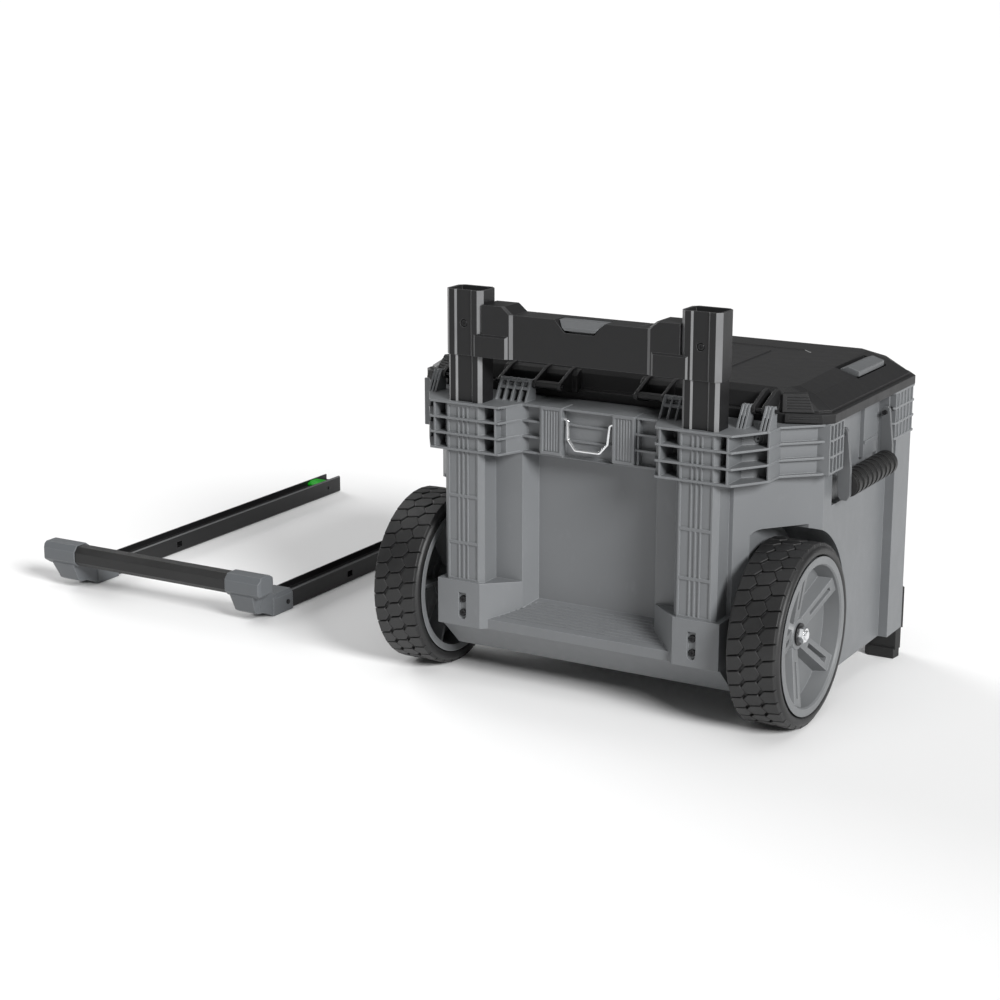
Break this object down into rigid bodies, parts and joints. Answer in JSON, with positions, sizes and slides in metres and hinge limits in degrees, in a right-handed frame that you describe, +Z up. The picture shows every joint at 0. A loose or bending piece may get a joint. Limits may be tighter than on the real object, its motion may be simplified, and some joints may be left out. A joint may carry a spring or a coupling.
{
  "type": "rolling tool chest",
  "caption": "Wheeled hard tool chest with hinged lid, side handles and a draw-out pull handle laid beside it.",
  "frame": {"origin": "on the floor, under the middle of the chest", "axes": "+Z up, +Y towards the back of the chest where the wheels and handle tubes are, +X towards the side where the pull handle lies"},
  "size_m": [1.2285, 0.7899, 0.516],
  "materials": {
    "grey_shell": "moulded, fine grain",
    "black_shell": "moulded, fine grain",
    "rubber_seal": "soft foam rubber",
    "coated_tube": "satin black powder coat",
    "steel_pin": "turned steel",
    "bright_plated": "bright zinc plate",
    "black_screw": "black oxide",
    "spring_steel": "drawn spring wire",
    "grey_lever": "moulded nylon",
    "grey_cast_corner": "moulded, satin",
    "tyre_rubber": "solid rubber tread",
    "nylon_bush": "natural nylon",
    "soft_grip": "soft-touch rubber",
    "foot_rubber": "hard rubber",
    "green_button": "moulded, satin"
  },
  "bodies": {
    "chest": {"chest_tub": "grey_shell", "hinge_pins": "steel_pin", "bridge": "black_shell", "release_spring": "spring_steel", "axle": "steel_pin", "axle_nuts": "bright_plated", "axle_washers": "bright_plated", "bridge_screws": "black_screw", "socket_screws": "black_screw", "carry_pins": "steel_pin", "latch_pins": "steel_pin", "left_tube": "coated_tube", "right_tube": "coated_tube", "left_housing": "black_shell", "right_housing": "black_shell", "left_front_foot": "foot_rubber", "right_front_foot": "foot_rubber"},
    "lid": {"lid_shell": "black_shell", "lid_seal": "rubber_seal", "stack_pins": "steel_pin"},
    "release_button": {"release_button": "grey_lever"},
    "bail": {"bail": "bright_plated"},
    "left_wheel": {"left_tyre": "tyre_rubber", "left_hub": "grey_shell", "left_bushes": "nylon_bush"},
    "right_wheel": {"right_tyre": "tyre_rubber", "right_hub": "grey_shell", "right_bushes": "nylon_bush"},
    "left_carry_handle": {"left_carry_frame": "grey_lever", "left_carry_grip": "soft_grip"},
    "right_carry_handle": {"right_carry_frame": "grey_lever", "right_carry_grip": "soft_grip"},
    "left_stack_latch": {"left_stack_latch": "grey_lever"},
    "right_stack_latch": {"right_stack_latch": "grey_lever"},
    "left_front_latch": {"left_front_latch": "grey_lever"},
    "right_front_latch": {"right_front_latch": "grey_lever"},
    "pull_handle": {"left_rail": "coated_tube", "right_rail": "coated_tube", "left_corner_bracket": "grey_cast_corner", "right_corner_bracket": "grey_cast_corner", "grip_tube": "steel_pin", "grip_sleeve": "soft_grip", "handle_screws": "black_screw", "detent_rivets": "steel_pin", "left_detent_spring": "spring_steel", "right_detent_spring": "spring_steel"},
    "left_detent_button": {"left_detent_button": "green_button"},
    "right_detent_button": {"right_detent_button": "green_button"}
  },
  "joints": [
    {"name": "lid_hinge", "type": "hinge", "parent": "chest", "child": "lid", "pos_m": [0, 0.15, 0.395], "axis": [-1, 0, 0], "range_deg": [0, 78]},
    {"name": "left_wheel_spin", "type": "hinge", "parent": "chest", "child": "left_wheel", "pos_m": [0.25, 0.1215, 0.1154], "axis": [1, 0, 0], "continuous": true},
    {"name": "right_wheel_spin", "type": "hinge", "parent": "chest", "child": "right_wheel", "pos_m": [-0.25, 0.1215, 0.1154], "axis": [1, 0, 0], "continuous": true},
    {"name": "release_press", "type": "slide", "parent": "chest", "child": "release_button", "axis": [0, 0, -1], "range_m": [0, 0.0015], "stiffness_N_per_m": 400, "springref_m": -0.001, "deforming": ["release_spring"]},
    {"name": "bail_swing", "type": "hinge", "parent": "chest", "child": "bail", "pos_m": [0, 0.174, 0.3605], "axis": [1, 0, 0], "range_deg": [0, 100]},
    {"name": "left_carry_swing", "type": "hinge", "parent": "chest", "child": "left_carry_handle", "pos_m": [0.281, -0.031, 0.352], "axis": [0, -1, 0], "range_deg": [0, 80]},
    {"name": "right_carry_swing", "type": "hinge", "parent": "chest", "child": "right_carry_handle", "pos_m": [-0.281, -0.031, 0.352], "axis": [0, 1, 0], "range_deg": [0, 80]},
    {"name": "left_front_latch_swing", "type": "hinge", "parent": "chest", "child": "left_front_latch", "pos_m": [0.128, -0.218, 0.304], "axis": [1, 0, 0], "range_deg": [0, 90]},
    {"name": "right_front_latch_swing", "type": "hinge", "parent": "chest", "child": "right_front_latch", "pos_m": [-0.128, -0.218, 0.304], "axis": [1, 0, 0], "range_deg": [0, 90]},
    {"name": "left_stack_latch_lift", "type": "hinge", "parent": "lid", "child": "left_stack_latch", "pos_m": [0.2358, -0.103, 0.4063], "axis": [0, -1, 0], "range_deg": [0, 75]},
    {"name": "right_stack_latch_lift", "type": "hinge", "parent": "lid", "child": "right_stack_latch", "pos_m": [-0.2358, -0.103, 0.4063], "axis": [0, 1, 0], "range_deg": [0, 75]},
    {"name": "pull_handle_lift", "type": "slide", "parent": "chest", "child": "pull_handle", "axis": [0, 0, 1], "range_m": [0, 0.5]},
    {"name": "left_detent_press", "type": "slide", "parent": "pull_handle", "child": "left_detent_button", "axis": [0, 0, -1], "range_m": [0, 0.003], "stiffness_N_per_m": 400, "springref_m": -0.001, "deforming": ["left_detent_spring"]},
    {"name": "right_detent_press", "type": "slide", "parent": "pull_handle", "child": "right_detent_button", "axis": [0, 0, -1], "range_m": [0, 0.003], "stiffness_N_per_m": 400, "springref_m": -0.001, "deforming": ["right_detent_spring"]}
  ]
}
